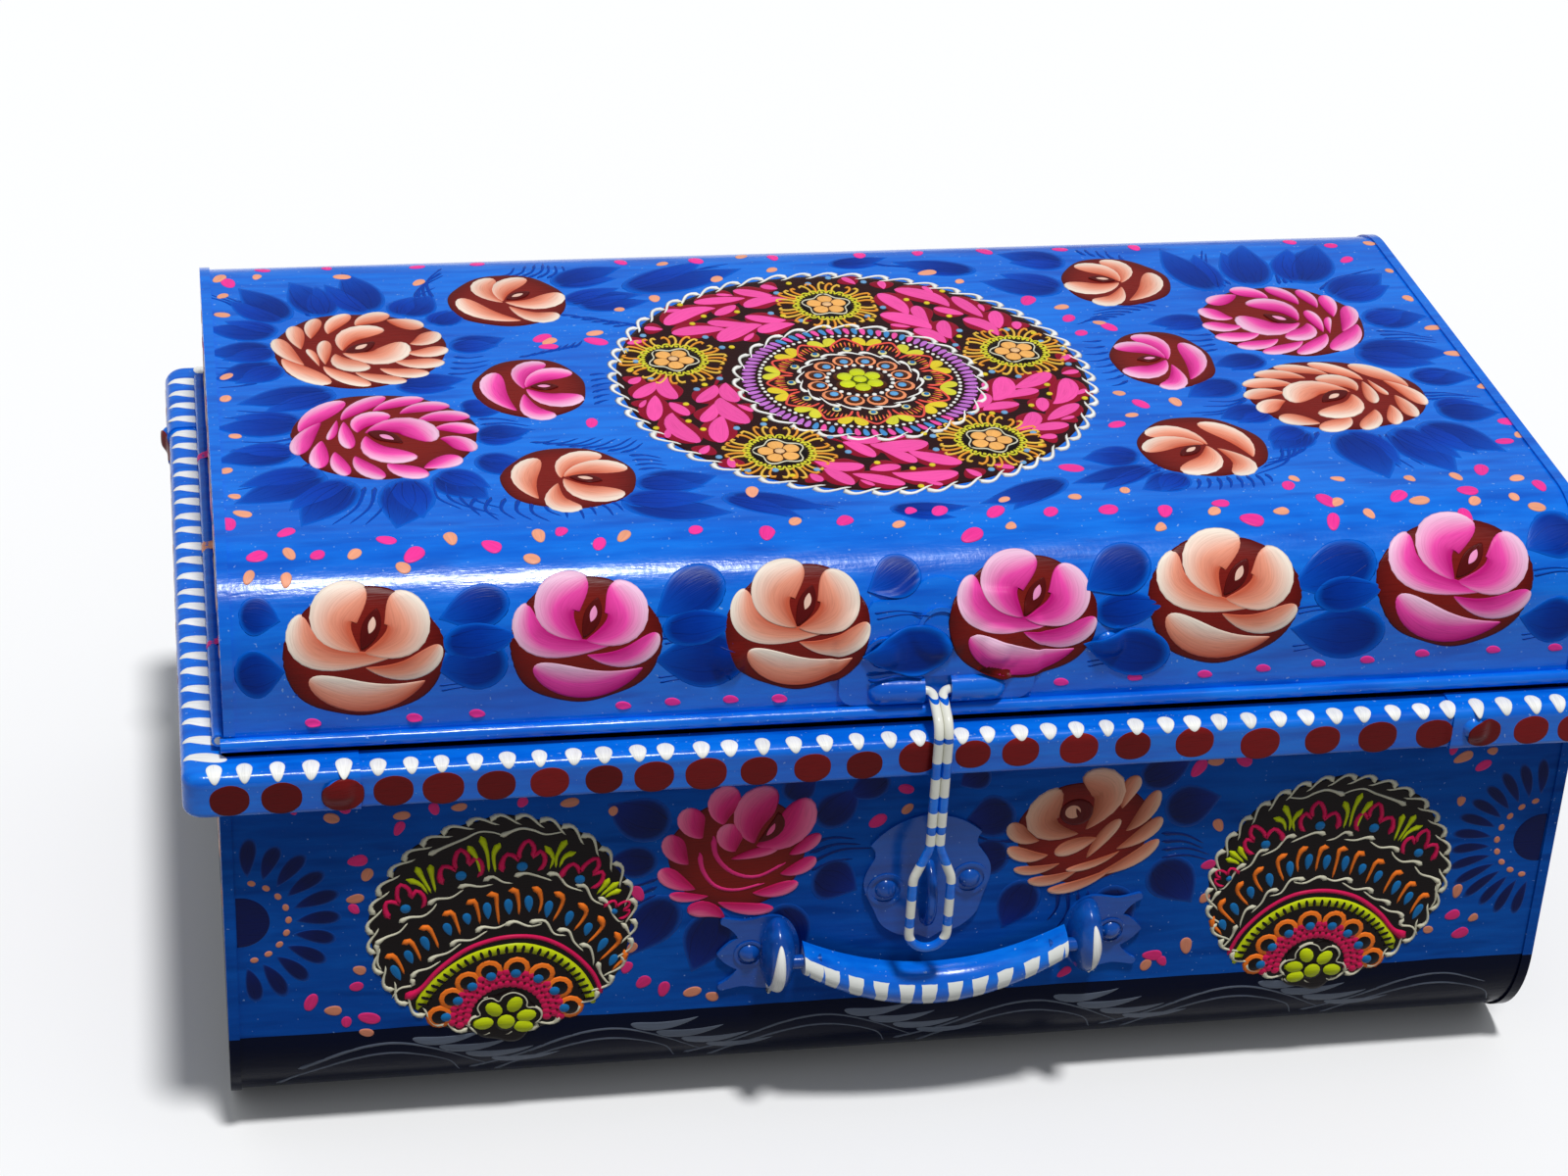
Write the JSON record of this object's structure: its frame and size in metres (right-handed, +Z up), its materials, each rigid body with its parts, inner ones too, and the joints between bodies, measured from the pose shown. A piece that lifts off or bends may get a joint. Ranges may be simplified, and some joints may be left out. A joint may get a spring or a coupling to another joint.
{
  "type": "chest",
  "caption": "Hand-painted sheet-metal trunk with a hinged rounded lid, folded rim, wire hasp and staple, and a swinging carrying handle on the front.",
  "frame": {"origin": "middle of the flat bottom", "axes": "+X along the trunk's length, to the right seen from its front; -Y out of its front, where the hasp and handle are; +Z up"},
  "size_m": [0.486, 0.3003, 0.2144],
  "materials": {
    "blue_enamel": "glossy brushed enamel with painted roses, leaves and dotted roundels",
    "striped_wire": "glossy enamel with white dashes",
    "striped_grip": "glossy enamel with white bars",
    "bare_steel": "dull bare steel"
  },
  "bodies": {
    "trunk_body": {"body_wrap": "blue_enamel", "body_left_end": "blue_enamel", "body_right_end": "blue_enamel", "rim_front": "blue_enamel", "rim_left": "blue_enamel", "rim_right": "blue_enamel", "rim_back": "blue_enamel", "rim_rivets": "blue_enamel", "staple": "blue_enamel", "staple_plate": "blue_enamel", "staple_rivets": "blue_enamel", "handle_plate_left": "blue_enamel", "handle_plate_right": "blue_enamel", "handle_rivets": "blue_enamel", "hinge_left_rim_leaf": "blue_enamel", "hinge_right_rim_leaf": "blue_enamel", "hinge_left_pin": "bare_steel", "hinge_right_pin": "bare_steel", "hinge_rim_rivets": "blue_enamel"},
    "lid": {"lid_wrap": "blue_enamel", "lid_left_end": "blue_enamel", "lid_right_end": "blue_enamel", "lid_edge_wires": "bare_steel", "lid_strap": "bare_steel", "hasp_plate": "blue_enamel", "hasp_rivets": "blue_enamel", "hinge_left_lid_leaf": "blue_enamel", "hinge_right_lid_leaf": "blue_enamel", "hinge_lid_rivets": "blue_enamel"},
    "hasp": {"hasp_wire": "striped_wire"},
    "handle": {"handle_grip": "striped_grip", "handle_pins": "blue_enamel"}
  },
  "joints": [
    {"name": "lid_hinge", "type": "hinge", "parent": "trunk_body", "child": "lid", "pos_m": [0, 0.1486, 0.1556], "axis": [-1, 0, 0], "range_deg": [0, 100]},
    {"name": "hasp_swing", "type": "hinge", "parent": "lid", "child": "hasp", "pos_m": [0.0038, -0.1324, 0.1658], "axis": [-1, 0, 0], "range_deg": [-3, 95]},
    {"name": "handle_swing", "type": "hinge", "parent": "trunk_body", "child": "handle", "pos_m": [0.0086, -0.1406, 0.0656], "axis": [-1, 0, 0], "range_deg": [-6, 95]}
  ]
}
